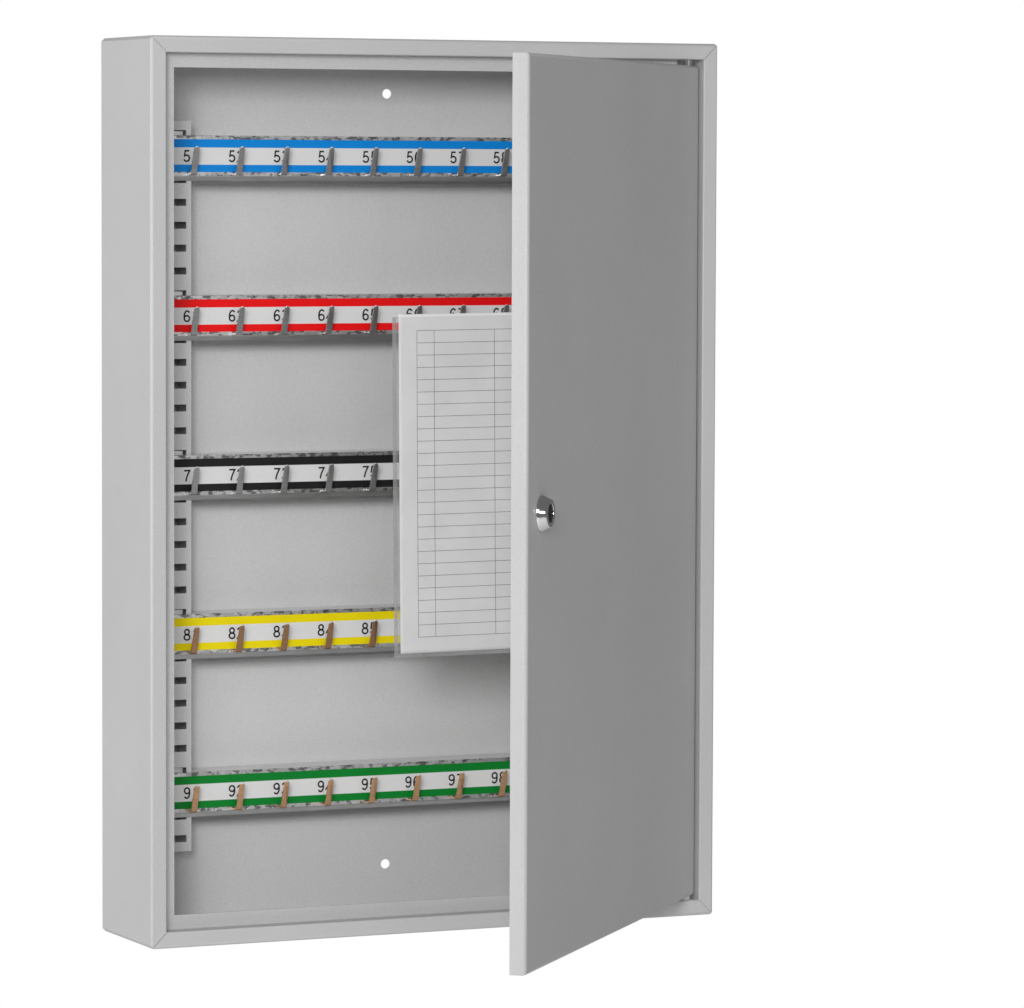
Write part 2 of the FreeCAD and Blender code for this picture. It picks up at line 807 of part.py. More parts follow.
def cam_fastening():
    seat = -dim("barrel_reach") - dim("cam_thick")
    bore = dim("screw_dia") / 2
    turned("cam_washer", lock_frame(), [
        (bore, seat - dim("washer_thick")),
        (dim("washer_dia") / 2, seat - dim("washer_thick")),
        (dim("washer_dia") / 2, seat),
        (bore, seat),
    ])
    under_head = seat - dim("washer_thick")
    head = dim("screw_head_dia") / 2
    screw = turned("cam_screw", lock_frame(), [
        (ZERO, under_head - dim("screw_head_tall")),
        (head - dim("screw_head_bevel"), under_head - dim("screw_head_tall")),
        (head, under_head + dim("screw_head_bevel") - dim("screw_head_tall")),
        (head, under_head),
        (bore, under_head),
        (bore, seat + dim("screw_deep") - dim("screw_play")),
        (ZERO, seat + dim("screw_deep") - dim("screw_play")),
    ])
    cross = sketch_on(screw, "XY_Plane", "drive", under_head - dim("screw_head_tall"))
    arm, half = dim("drive_half"), dim("drive_arm")
    draw_polygon(cross, [
        (-arm, -half), (-half, -half), (-half, -arm), (half, -arm), (half, -half), (arm, -half),
        (arm, half), (half, half), (half, arm), (-half, arm), (-half, half), (-arm, half),
    ])
    pocket(screw, cross, dim("drive_deep"), reverse=True)


def cam_lock():
    lock_housing()
    lock_nut()
    lock_plug()
    lock_wafers()
    lock_cam()
    cam_fastening()


# ---------------------------------------------------------------- index sleeve


def spine_frame():
    """At the sleeve's spine on the open door, parallel to the front of the case."""
    spine = Vector(-dim("sleeve_spine").number, -dim("sleeve_off_door").number, 0)
    place = DOOR_FRAME.multVec(spine)
    level = Vector(place.x, place.y, dim("sleeve_above").number)
    return Placement(level, Rotation(Vector(0, 1, 0), -dim("sleeve_tilt").number))


def index_sleeve():
    """A clear film pocket, welded round three edges and open at the top, hanging by its spine."""
    body = new_body("index_sleeve", spine_frame())
    start = -dim("sleeve_start")
    end = start - dim("sleeve_wide")
    half = dim("sleeve_thick") / 2
    tall = dim("sleeve_tall")
    # the spine stays plumb although the pocket hangs a little askew
    plumb = tall * math.tan(math.radians(dim("sleeve_tilt").number))
    face = sketch_on(body, "XZ_Plane", "face", -half)
    draw_polygon(face, [(end, -tall), (start - plumb, -tall), (start, ZERO), (end, ZERO)])
    pad(body, face, dim("sleeve_thick"))

    def outer_corner(edge):
        (left, right), (near, far), _ = box_of(edge)
        return close(left, right) and close(left, end.number) and far - near > 0.5

    round_edges(body, dim("sleeve_corner"), outer_corner)
    mouth = sketch_on(body, "XY_Plane", "mouth", ZERO)
    weld = dim("sleeve_weld")
    film = dim("sleeve_film")
    draw_rectangle(mouth, end + weld, start - dim("spine_strip_wide"), -half + film, half - film)
    pocket(body, mouth, dim("sleeve_tall") - weld)


def index_sheet():
    body = new_body("index_sheet", spine_frame())
    left = -dim("sleeve_start") - dim("sleeve_wide") + dim("paper_inset")
    half = dim("paper_thick") / 2
    foot = dim("sleeve_weld") + 0.1 - dim("sleeve_tall")
    face = sketch_on(body, "XZ_Plane", "face", -half)
    draw_rectangle(face, left, left + dim("paper_wide"), foot, foot + dim("paper_tall"))
    pad(body, face, dim("paper_thick"))


def sleeve_spine_strip():
    """The self-adhesive strip that holds the sleeve to the inside of the door."""
    place = DOOR_FRAME.multiply(Placement(Vector(0, 0, dim("sleeve_above").number), Rotation()))
    body = new_body("sleeve_spine_strip", place)
    face = sketch_on(body, "XZ_Plane", "face", -DOOR_INSIDE)
    right = dim("spine_strip_wide") - dim("sleeve_spine") + dim("sleeve_start")
    left = dim("sleeve_start") - dim("sleeve_spine")
    draw_rectangle(face, left, right, 1 - dim("sleeve_tall"), Size.of(-1))
    pad(body, face, dim("spine_strip_thick"), reverse=True)


# ---------------------------------------------------------------- build, check and write

case()
upright("left_upright", -1)
upright("right_upright", 1)
for place, colour_name in enumerate(RAIL_COLOURS):
    hook_rail(colour_name, place)
    number_strip(colour_name, place)
door()
cam_lock()
index_sleeve()
index_sheet()
sleeve_spine_strip()
doc.recompute()

for item in doc.Objects:
    if "Invalid" in item.State or "Error" in item.State:
        raise RuntimeError(f"{item.Name} failed: {item.State}")
for item in parts:
    if item.Shape.isNull() or not item.Shape.isValid():
        raise RuntimeError(f"{item.Label} has no valid shape")

os.makedirs("parts", exist_ok=True)
for item in parts:
    item.Shape.exportStep(f"parts/{item.Label}.step")
    solids = len(item.Shape.Solids)
    print(f"{item.Label}: {solids} solid(s), {item.Shape.Volume / 1000:.2f} cm3")
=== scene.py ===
import json
import math

import bmesh
import bpy
from mathutils import Matrix, Vector


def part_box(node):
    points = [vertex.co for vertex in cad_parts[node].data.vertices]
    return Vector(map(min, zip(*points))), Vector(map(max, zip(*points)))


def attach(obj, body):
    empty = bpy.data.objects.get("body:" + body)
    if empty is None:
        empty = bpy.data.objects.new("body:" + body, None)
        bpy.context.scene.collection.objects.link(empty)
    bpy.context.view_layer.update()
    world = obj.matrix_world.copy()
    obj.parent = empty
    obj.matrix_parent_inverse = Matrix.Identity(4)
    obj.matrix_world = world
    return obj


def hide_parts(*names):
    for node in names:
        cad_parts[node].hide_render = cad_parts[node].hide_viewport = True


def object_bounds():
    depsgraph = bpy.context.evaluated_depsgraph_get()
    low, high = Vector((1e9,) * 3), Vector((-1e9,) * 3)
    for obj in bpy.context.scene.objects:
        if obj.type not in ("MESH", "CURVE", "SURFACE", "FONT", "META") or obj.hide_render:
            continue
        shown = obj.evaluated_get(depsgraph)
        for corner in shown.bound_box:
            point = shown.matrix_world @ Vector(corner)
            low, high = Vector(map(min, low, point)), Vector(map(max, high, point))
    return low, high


# Looks for a wall key cabinet.  Metres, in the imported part's own frame: +Z up, the front faces
# -Y, the origin is on the back face between the wall holes.  Everything is placed from the
# frame's boxes and joints.

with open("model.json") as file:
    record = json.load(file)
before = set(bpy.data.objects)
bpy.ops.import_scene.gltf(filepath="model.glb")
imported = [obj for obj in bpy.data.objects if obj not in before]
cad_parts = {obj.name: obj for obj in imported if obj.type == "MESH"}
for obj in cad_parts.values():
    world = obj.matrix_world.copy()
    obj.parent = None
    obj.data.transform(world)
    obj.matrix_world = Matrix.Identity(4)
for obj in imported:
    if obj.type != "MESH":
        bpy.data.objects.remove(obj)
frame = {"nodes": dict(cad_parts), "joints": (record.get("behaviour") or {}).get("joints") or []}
cad_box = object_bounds()
nodes = frame["nodes"]
joints = {joint["name"]: joint for joint in frame["joints"]}

MM = 0.001
COLOURS = ("blue", "red", "black", "yellow", "green")
FIRST_NUMBER = 51
HOOKS = 10
HOOK_PITCH = 29.8 * MM
NUMBER_FIRST = 49.15 * MM  # from the outer left face of the case to the first number
STRIP_TOP_BAND = 5 * MM
STRIP_FOOT_BAND = 4.5 * MM
HOOK_TIP_DROP = 5.0 * MM  # from the strip's head down to where a hook's painted tip highlight starts
FOLD_DROP = 2.3 * MM  # from the strip's foot down to the rail's lower fold
HOOK_STAND = 0.3 * MM  # how far in front of the strip the hooks' painted tone starts
PAINTED_SHADE_TONE = 0.50  # painted shade on the foot fold, and on the hooks without a painted reflection tint
# painted reflection: the flange behind the plate is painted lighter and smooth
FLANGE_REFLECTION_TONE = 0.86
RAIL_PLATE = 0.9 * MM  # from the front of the rail's plate back to where its painted flange reflection starts


# ---------------------------------------------------------------- node helpers


class Shader:
    """A material's node tree with short calls for the nodes that these finishes share."""

    def __init__(self, name):
        self.material = bpy.data.materials.new(name)
        self.material.use_nodes = True
        self.tree = self.material.node_tree
        self.bsdf = self.tree.nodes["Principled BSDF"]
        self.place = self.tree.nodes.new("ShaderNodeTexCoord").outputs["Object"]

    def set(self, **values):
        for name, value in values.items():
            self.bsdf.inputs[name.replace("_", " ")].default_value = value

    def link(self, source, target):
        self.tree.links.new(source, target)

    def node(self, kind, **settings):
        made = self.tree.nodes.new(kind)
        for name, value in settings.items():
            setattr(made, name, value)
        return made

    def stretched(self, scale):
        """Object coordinates scaled by a vector, for brushed or streaky patterns."""
        mapping = self.node("ShaderNodeMapping")
        mapping.inputs["Scale"].default_value = scale
        self.link(self.place, mapping.inputs["Vector"])
        return mapping.outputs["Vector"]

    def noise(self, scale, detail=2.0, roughness=0.5, vector=None):
        made = self.node("ShaderNodeTexNoise")
        made.inputs["Scale"].default_value = scale
        made.inputs["Detail"].default_value = detail
        made.inputs["Roughness"].default_value = roughness
        self.link(vector or self.place, made.inputs["Vector"])
        return made.outputs["Fac"]

    def cells(self, scale):
        made = self.node("ShaderNodeTexVoronoi")
        made.inputs["Scale"].default_value = scale
        self.link(self.place, made.inputs["Vector"])
        return made

    def ramp(self, source, stops):
        """A colour ramp whose stops are (position, colour or grey)."""
        made = self.node("ShaderNodeValToRGB")
        elements = made.color_ramp.elements
        while len(elements) < len(stops):
            elements.new(0.5)
        for element, (position, colour) in zip(elements, stops):
            element.position = position
            element.color = colour if isinstance(colour, tuple) else (colour, colour, colour, 1)
        self.link(source, made.inputs["Fac"])
        return made.outputs["Color"]

    def mix(self, factor, low, high, blend="MIX"):
        made = self.node("ShaderNodeMix", data_type="RGBA", blend_type=blend)
        sockets = (made.inputs[0], made.inputs[6], made.inputs[7])
        for socket, value in zip(sockets, (factor, low, high)):
            if isinstance(value, bpy.types.NodeSocket):
                self.link(value, socket)
            else:
                socket.default_value = value
        return made.outputs[2]

    def math(self, operation, first, second):
        made = self.node("ShaderNodeMath", operation=operation)
        for socket, value in zip(made.inputs, (first, second)):
            if isinstance(value, bpy.types.NodeSocket):
                self.link(value, socket)
            else:
                socket.default_value = value
        return made.outputs[0]

    def bump(self, source, strength, distance, after=None):
        made = self.node("ShaderNodeBump")
        made.inputs["Strength"].default_value = strength
        made.inputs["Distance"].default_value = distance
        self.link(source, made.inputs["Height"])
        if after is not None:
            self.link(after, made.inputs["Normal"])
        return made.outputs["Normal"]

    def along(self, axis):
        split = self.node("ShaderNodeSeparateXYZ")
        self.link(self.place, split.inputs[0])
        return split.outputs[axis]


def grey(value):
    return (value, value, value, 1.0)


def shade(tone, share=1.0):
    """A red, green, blue tone, darkened to a share of itself, as a socket's colour."""
    red, green, blue = tone
    return (red * share, green * share, blue * share, 1)


# ---------------------------------------------------------------- materials

COAT_TONE = 0.545
# This tone is the same powder coat painted lighter: painted light for the brighter inside of the
# case.
BACK_PAINTED_LIGHT_TONE = 0.640
ZINC_TONE = 0.70


def powder_coat(name, tone):
    """Light grey powder coat: fine grain, a slow orange peel and faint cloudiness."""
    shader = Shader(name)
    cloud = shader.ramp(shader.noise(9, 3), [(0.3, tone * 0.97), (0.7, tone * 1.02)])
    grain = shader.ramp(shader.noise(1400, 2, 0.6), [(0.35, 0.90), (0.62, 1.0)])
    shader.link(shader.mix(1.0, cloud, grain, "MULTIPLY"), shader.bsdf.inputs["Base Color"])
    rough = shader.ramp(shader.noise(260, 3), [(0.3, 0.40), (0.7, 0.50)])
    shader.link(rough, shader.bsdf.inputs["Roughness"])
    peel = shader.bump(shader.noise(330, 1), 0.10, 0.4 * MM)
    fine = shader.bump(shader.noise(1100, 3, 0.65), 0.30, 0.15 * MM, after=peel)
    shader.link(fine, shader.bsdf.inputs["Normal"])
    shader.set(IOR=1.5)
    return shader.material


def galvanised(name, strip_low, strip_high, painted_hook_tone):
    """Hot-dip sheet: crystals and hard blotches on the front of the rail around its strip.

    It has painted shade on the foot fold, a smooth painted reflection on the flange behind the
    plate, and on the hooks painted shade (a painted tan reflection on the yellow and green rows)
    with painted highlights on their tips.
    """
    shader = Shader(name)
    level = shader.along("Z")
    crystals = shader.cells(230).outputs["Color"]
    crystal_tone = shader.ramp(crystals, [(0.1, grey(0.70)), (0.9, grey(1.0))])
    blotches = shader.noise(190, 5, 0.7, shader.stretched((1, 2, 2)))
    blotch_tone = shader.ramp(blotches, [(0.44, 0.08), (0.50, 1.0)])
    mottled = shader.mix(0.8, crystal_tone, blotch_tone, "MULTIPLY")
    depth = shader.along("Y")
    hooks = shader.math("LESS_THAN", depth, strip_low.y - HOOK_STAND)
    # painted reflection: the flange behind the plate gets a lighter, smooth tone
    behind = shader.math("GREATER_THAN", depth, strip_high.y + RAIL_PLATE)
    # painted shade: the foot fold below FOLD_DROP is painted darker
    fold = shader.math("LESS_THAN", level, strip_low.z - FOLD_DROP)
    # painted highlight: the hooks' tips are painted white
    tips = shader.math("GREATER_THAN", level, strip_high.z - HOOK_TIP_DROP)
    plate_tone = shader.mix(behind, mottled, grey(FLANGE_REFLECTION_TONE))
    sheet_tone = shader.mix(fold, plate_tone, grey(PAINTED_SHADE_TONE))
    tone = shader.mix(hooks, sheet_tone, shader.mix(tips, painted_hook_tone, grey(1.0)))
    streaks = shader.noise(30, 4, 0.6, shader.stretched((1, 22, 22)))
    streak_tone = shader.ramp(streaks, [(0.35, 0.75), (0.65, 1.0)])
    shader.link(shader.mix(0.6, tone, streak_tone, "MULTIPLY"), shader.bsdf.inputs["Base Color"])
    rough = shader.ramp(blotches, [(0.35, 0.50), (0.60, 0.28)])
    shader.link(rough, shader.bsdf.inputs["Roughness"])
    shader.link(shader.bump(shader.noise(400, 3), 0.2, 0.08 * MM), shader.bsdf.inputs["Normal"])
    shader.set(Metallic=1.0)
    return shader.material


def zinc_plate(name):
    """Bright zinc plate with faint turning marks."""
    shader = Shader(name)
    marks = shader.noise(900, 3, 0.5, shader.stretched((1, 1, 6)))
    shader.link(shader.ramp(marks, [(0.3, ZINC_TONE * 0.85), (0.7, ZINC_TONE)]),
                shader.bsdf.inputs["Base Color"])
    shader.link(shader.ramp(marks, [(0.3, 0.22), (0.7, 0.36)]), shader.bsdf.inputs["Roughness"])
    shader.link(shader.bump(marks, 0.15, 0.05 * MM), shader.bsdf.inputs["Normal"])
    shader.set(Metallic=1.0)
    return shader.material


def chrome(name):
    """Polished chrome with the haze of handling."""
    shader = Shader(name)
    haze = shader.noise(180, 4, 0.6)
    shader.link(shader.ramp(haze, [(0.3, 0.80), (0.7, 0.86)]), shader.bsdf.inputs["Base Color"])
    shader.link(shader.ramp(haze, [(0.35, 0.08), (0.75, 0.15)]), shader.bsdf.inputs["Roughness"])
    shader.set(Metallic=1.0)
    return shader.material


def dark_core(name):
    """The blackened core of the lock."""
    shader = Shader(name)
    scuffs = shader.noise(700, 4, 0.6)
    shader.link(shader.ramp(scuffs, [(0.35, 0.035), (0.75, 0.09)]),
                shader.bsdf.inputs["Base Color"])
    shader.link(shader.ramp(scuffs, [(0.3, 0.25), (0.7, 0.42)]), shader.bsdf.inputs["Roughness"])
    shader.link(shader.bump(scuffs, 0.2, 0.05 * MM), shader.bsdf.inputs["Normal"])
    shader.set(Metallic=0.8)
    return shader.material


def brass(name):
    shader = Shader(name)
    dull = shader.noise(500, 3)
    tone = shader.ramp(dull, [(0.3, (0.55, 0.38, 0.14, 1)), (0.7, (0.78, 0.58, 0.27, 1))])
    shader.link(tone, shader.bsdf.inputs["Base Color"])
    shader.link(shader.ramp(dull, [(0.3, 0.25), (0.7, 0.4)]), shader.bsdf.inputs["Roughness"])
    shader.set(Metallic=1.0)
    return shader.material


def moulded_plastic(name, tone, roughness):
    """Plain moulded or cast plastic with a faint mould grain."""
    shader = Shader(name)
    grain = shader.noise(800, 3)
    shader.link(shader.ramp(grain, [(0.3, shade(tone, 0.93)), (0.7, shade(tone))]),
                shader.bsdf.inputs["Base Color"])
    shader.link(shader.ramp(grain, [(0.3, roughness * 0.85), (0.7, roughness * 1.15)]),
                shader.bsdf.inputs["Roughness"])
    shader.link(shader.bump(grain, 0.12, 0.05 * MM), shader.bsdf.inputs["Normal"])
    return shader.material


def printed_strip(name, tone, low, high):
    """A strip between heights low and high: white, with a band of colour along each edge."""
    shader = Shader(name)
    level = shader.along("Z")
    in_head = shader.math("GREATER_THAN", level, high - STRIP_TOP_BAND)
    in_foot = shader.math("LESS_THAN", level, low + STRIP_FOOT_BAND)
    in_band = shader.math("MAXIMUM", in_head, in_foot)
    print_grain = shader.noise(1500, 2)
    white = shader.ramp(print_grain, [(0.3, grey(0.70)), (0.7, grey(0.76))])
    band = shader.ramp(print_grain, [(0.3, shade(tone, 0.9)), (0.7, shade(tone))])
    shader.link(shader.mix(in_band, white, band), shader.bsdf.inputs["Base Color"])
    shader.link(shader.ramp(shader.noise(120, 3), [(0.3, 0.40), (0.7, 0.50)]),
                shader.bsdf.inputs["Roughness"])
    shader.set(IOR=1.3)
    return shader.material


def paper(name):
    """Copier paper: matt, faintly mottled, with a fine tooth."""
    shader = Shader(name)
    mottle = shader.ramp(shader.noise(60, 4), [(0.3, grey(0.80)), (0.7, grey(0.86))])
    shader.link(mottle, shader.bsdf.inputs["Base Color"])
    shader.link(shader.ramp(shader.noise(1500, 2), [(0.3, 0.75), (0.7, 0.9)]),
                shader.bsdf.inputs["Roughness"])
    shader.link(shader.bump(shader.noise(2200, 3), 0.15, 0.03 * MM), shader.bsdf.inputs["Normal"])
    return shader.material


def ink(name, tone):
    shader = Shader(name)
    wash = shader.noise(900, 3)
    shader.link(shader.ramp(wash, [(0.3, tone), (0.7, tone * 1.5)]),
                shader.bsdf.inputs["Base Color"])
    shader.set(Roughness=0.6)
    return shader.material


def clear_film(name, alpha):
    """Thin clear film: nearly invisible head on, with a soft gloss and slight haze."""
    shader = Shader(name)
    haze = shader.noise(35, 3)
    shader.link(shader.ramp(haze, [(0.3, grey(0.36)), (0.7, grey(0.46))]),
                shader.bsdf.inputs["Base Color"])
    shader.link(shader.ramp(haze, [(0.3, 0.10), (0.7, 0.20)]), shader.bsdf.inputs["Roughness"])
    shader.link(shader.bump(shader.noise(25, 2), 0.15, 1 * MM), shader.bsdf.inputs["Normal"])
    shader.set(Alpha=alpha)
    return shader.material


def studio_floor(name):
    shader = Shader(name)
    shader.link(shader.ramp(shader.noise(3, 3), [(0.3, grey(0.90)), (0.7, grey(0.94))]),
                shader.bsdf.inputs["Base Color"])
    shader.set(Roughness=0.9)
    return shader.material


STRIP_INKS = {
    "blue": (0.0, 0.250, 0.740),
    "red": (0.880, 0.004, 0.006),
    "black": (0.014, 0.014, 0.015),
    "yellow": (0.900, 0.740, 0.0),
    "green": (0.0, 0.225, 0.026),
}
# painted reflections: a tan tint on the hooks of the yellow and green rows
HOOK_REFLECTION_TINTS = {"yellow": (0.48, 0.27, 0.155, 1), "green": (0.75, 0.45, 0.25, 1)}

coat = powder_coat("powder_coat", COAT_TONE)
painted_lit_coat = powder_coat("powder_coat_painted_lit", BACK_PAINTED_LIGHT_TONE)
plated = zinc_plate("zinc_plate")
finishes = {
    "lock_housing": chrome("lock_chrome"),
    "lock_plug": dark_core("lock_core"),
    "lock_wafers": brass("wafer_brass"),
    "sleeve_spine_strip": moulded_plastic("spine_tape", (0.80, 0.80, 0.79), 0.5),
}
nylon = moulded_plastic("bush_nylon", (0.78, 0.78, 0.75), 0.45)
for name in ("left_side", "right_side", "top_side", "bottom_side", "door_panel"):
    finishes[name] = coat
# The back panel and uprights take the lighter copy of the powder coat: painted light inside the
# case.
for name in ("back_panel", "left_upright", "right_upright"):
    finishes[name] = painted_lit_coat
for name in ("top_pivot_pin", "bottom_pivot_pin"):
    finishes[name] = plated
for name in ("lock_nut", "lock_cam", "cam_washer", "cam_screw"):
    finishes[name] = plated
for name in ("top_pivot_bush", "bottom_pivot_bush"):
    finishes[name] = nylon
for colour in COLOURS:
    strip_low, strip_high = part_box(f"number_strip_{colour}")
    finishes[f"hook_rail_{colour}"] = galvanised(
        f"galvanised_{colour}", strip_low, strip_high, HOOK_REFLECTION_TINTS.get(colour, grey(PAINTED_SHADE_TONE)))
    finishes[f"number_strip_{colour}"] = printed_strip(
        f"strip_{colour}", STRIP_INKS[colour], strip_low.z, strip_high.z)


# ---------------------------------------------------------------- CAD nodes

SHEET_EDGE = 0.2 * MM
EDGES = {"number_strip": 0.0, "lock_wafers": 0.0, "lock_plug": 0.12 * MM}
EDGE_SEGMENTS = 2
SHARP_ANGLE = math.radians(35)
WELD_WITHIN = 0.002 * MM


def dress(node, material, edge):
    """Gives a CAD node its finish and softens its sharp edges by a small bevel."""
    node.data.materials.clear()
    node.data.materials.append(material)
    weld = node.modifiers.new("weld", "WELD")
    weld.merge_threshold = WELD_WITHIN
    if edge > 0:
        bevel = node.modifiers.new("edge", "BEVEL")
        bevel.width = edge
        bevel.segments = EDGE_SEGMENTS
        bevel.limit_method = "ANGLE"
        bevel.angle_limit = SHARP_ANGLE
        bevel.harden_normals = True
        bevel.use_clamp_overlap = True


def edge_of(name):
    return next((width for start, width in EDGES.items() if name.startswith(start)), SHEET_EDGE)


for name, node in nodes.items():
    if name in finishes:
        dress(node, finishes[name], edge_of(name))


# ---------------------------------------------------------------- piece helpers


def mesh_piece(name, mesh_builder, material, body, smooth=False):
    """A new piece made by a function that fills a bmesh."""
    mesh = bpy.data.meshes.new(name)
    bm = bmesh.new()
    mesh_builder(bm)
    bm.normal_update()
    bm.to_mesh(mesh)
    bm.free()
    for polygon in mesh.polygons:
        polygon.use_smooth = smooth
    mesh.materials.append(material)
    piece = bpy.data.objects.new(name, mesh)
    bpy.context.scene.collection.objects.link(piece)
    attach(piece, body)
    return piece


# ---------------------------------------------------------------- numbers on the strips


def arc(centre, radii, first, last):
    """Points of an elliptical arc between two angles in degrees."""
    steps = max(6, round(abs(last - first) / 12))
    angles = [math.radians(first + (last - first) * step / steps) for step in range(steps + 1)]
    return [
        (centre[0] + radii[0] * math.cos(angle), centre[1] + radii[1] * math.sin(angle))
        for angle in angles
    ]


# centre lines of plain figures, one high and FIGURE_WIDE wide
FIGURE_WIDE = 0.62
SIX = [arc((0.31, 0.295), (0.24, 0.25), 0, 360), arc((0.34, 0.50), (0.27, 0.455), 42, 196)]
FIGURES = {
    "0": [arc((0.31, 0.50), (0.26, 0.455), 0, 360)],
    "1": [[(0.14, 0.76), (0.30, 0.83), (0.38, 0.96), (0.38, 0.0)]],
    "2": [arc((0.31, 0.70), (0.25, 0.255), 168, -38)
          + [(0.16, 0.22), (0.06, 0.045), (0.57, 0.045)]],
    "3": [arc((0.29, 0.735), (0.22, 0.22), 160, -90), arc((0.29, 0.27), (0.26, 0.235), 90, -162)],
    "4": [[(0.46, 0.0), (0.46, 0.94), (0.05, 0.26), (0.61, 0.26)]],
    "5": [[(0.53, 0.955), (0.16, 0.955), (0.10, 0.50)]
          + arc((0.29, 0.31), (0.26, 0.27), 132, -158)],
    "6": SIX,
    "7": [[(0.05, 0.95), (0.57, 0.95), (0.38, 0.58), (0.27, 0.28), (0.22, 0.0)]],
    "8": [arc((0.31, 0.735), (0.21, 0.22), 0, 360), arc((0.31, 0.27), (0.26, 0.235), 0, 360)],
    "9": [[(FIGURE_WIDE - x, 1 - y) for x, y in line] for line in SIX],
}
FIGURE_ADVANCE = 0.785
FIGURE_STROKE = 0.15
FIGURE_HIGH = 7.0 * MM
FIGURE_STAND = 0.04 * MM


def add_figure(bm, figure, corner, height):
    """Adds one figure as flat ribbons facing the front; corner is its lower left."""
    for line in FIGURES[figure]:
        points = [Vector(point) for point in line]
        edges = []
        for index, point in enumerate(points):
            before = (point - points[index - 1]).normalized() if index else None
            after = (points[index + 1] - point).normalized() if index + 1 < len(points) else None
            along = ((before or after) + (after or before)).normalized()
            stretch = 1 / max(0.5, along.dot(before or after))
            aside = Vector((-along.y, along.x)) * FIGURE_STROKE / 2 * stretch
            edges.append([
                bm.verts.new(corner + Vector((spot.x * height, 0, spot.y * height)))
                for spot in (point + aside, point - aside)
            ])
        for (upper, lower), (next_upper, next_lower) in zip(edges, edges[1:]):
            bm.faces.new((upper, lower, next_lower, next_upper))


def numbers(first, case_left, low, high):
    """A mesh builder for one strip's row of numbers, from the strip's box."""
    foot = (low.z + STRIP_FOOT_BAND + high.z - STRIP_TOP_BAND) / 2 - FIGURE_HIGH / 2

    def figures(bm):
        for hook in range(HOOKS):
            across = case_left + NUMBER_FIRST + hook * HOOK_PITCH
            left = across - FIGURE_HIGH * (FIGURE_ADVANCE + FIGURE_WIDE) / 2
            for index, figure in enumerate(str(first + hook)):
                at = left + FIGURE_HIGH * FIGURE_ADVANCE * index
                add_figure(bm, figure, Vector((at, low.y - FIGURE_STAND, foot)), FIGURE_HIGH)

    return figures


figure_ink = ink("figure_ink", 0.004)
case_low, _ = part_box("left_side")
for place, colour in enumerate(COLOURS):
    low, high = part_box(f"number_strip_{colour}")
    figures = numbers(FIRST_NUMBER + place * HOOKS, case_low.x, low, high)
    mesh_piece(f"figures_{colour}", figures, figure_ink, f"rail_{colour}")


# ---------------------------------------------------------------- index sleeve and sheet

SLEEVE_TILT = math.radians(0.55)
SLEEVE_WIDE = 183.5 * MM
SLEEVE_TALL = 206.6 * MM
SLEEVE_START = 0.6 * MM
BULGE_MM = 0.25  # one broad swell across the sleeve
WAVE_MM = 0.12  # short slanting waves
WAVE_ACROSS = 15
WAVE_DOWN = 9
SAG_MM = 0.20  # slow waves down the sleeve
SAG_DOWN = 5.2
SAG_ACROSS = 2.0
RISE = 4  # the waves reach their full height a RISE-th of the width from the spine
WELD = 2.5 * MM
WELD_STAND = 0.09 * MM
FILM_CLOSED = 0.05 * MM
FILM_GAP = 0.15 * MM
EDGE_EASE = 3 * MM
SPINE_CLOSED = 8 * MM
SPINE_EASE = 6 * MM
PAPER_WIDE = 147.5 * MM
PAPER_TALL = 205.5 * MM
PAPER_INSET = 4.2 * MM
PAPER_FOOT = 2.6 * MM
PAPER_THICK = 0.12 * MM
RULED_ROWS = 25
RULED_PITCH = 7.44 * MM
RULED_TOP = 10.0 * MM
RULED_LEFT = 11.9 * MM
RULED_WIDE = 126 * MM
RULED_COLUMNS = (0.0, 11.4 * MM, 51.4 * MM, 92.0 * MM, RULED_WIDE)
RULE_WIDE = 0.30 * MM
RULE_STAND = 0.10 * MM

_, sleeve_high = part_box("index_sleeve")
spine = Vector(joints["index_swing"]["pos_m"])
sleeve_frame = (
    Matrix.Translation(Vector((spine.x, spine.y, sleeve_high.z)))
    @ Matrix.Rotation(-SLEEVE_TILT, 4, "Y")
)


def ripple(across, down):
    """How far the hanging sheet stands forward of its plane: slow waves, none at the spine."""
    along = -across / SLEEVE_WIDE
    bulge = math.sin(along * math.pi) * BULGE_MM
    wave = math.sin(along * WAVE_ACROSS + down * WAVE_DOWN) * WAVE_MM
    sag = math.sin(-down / SLEEVE_TALL * SAG_DOWN + along * SAG_ACROSS) * SAG_MM
    return (bulge + wave + sag) * MM * min(1.0, along * RISE)


def sleeve_point(across, down, forward):
    return sleeve_frame @ Vector((across, -(ripple(across, down) + forward), down))


def plumb_edge(down):
    """The spine edge, which stays plumb on the door although the pocket hangs a little askew."""
    return down * math.tan(SLEEVE_TILT) - SLEEVE_START


def grid(bm, left, right, top, bottom, columns, rows, forward):
    """A sheet of faces between two edges; forward(across, down) is its standing off.

    The right edge is a number, or a function of the height below the sleeve's top.
    """
    lines = []
    for row in range(rows + 1):
        down = top + (bottom - top) * row / rows
        right_here = right(down) if callable(right) else right
        line = []
        for column in range(columns + 1):
            across = left + (right_here - left) * column / columns
            line.append(bm.verts.new(sleeve_point(across, down, forward(across, down))))
        lines.append(line)
    for upper, lower in zip(lines, lines[1:]):
        for index in range(columns):
            bm.faces.new((upper[index], lower[index], lower[index + 1], upper[index + 1]))


film_left = -SLEEVE_START - SLEEVE_WIDE
paper_left = film_left + PAPER_INSET
paper_foot = PAPER_FOOT - SLEEVE_TALL
paper_top = paper_foot + PAPER_TALL


def standing(distance):
    """The same standing off all over a sheet, for grid()."""
    return lambda across, down: distance


def ease(distance, reach):
    """0 to 1, rising smoothly over a reach."""
    share = max(0.0, min(1.0, distance / reach))
    return share * share * (3 - 2 * share)


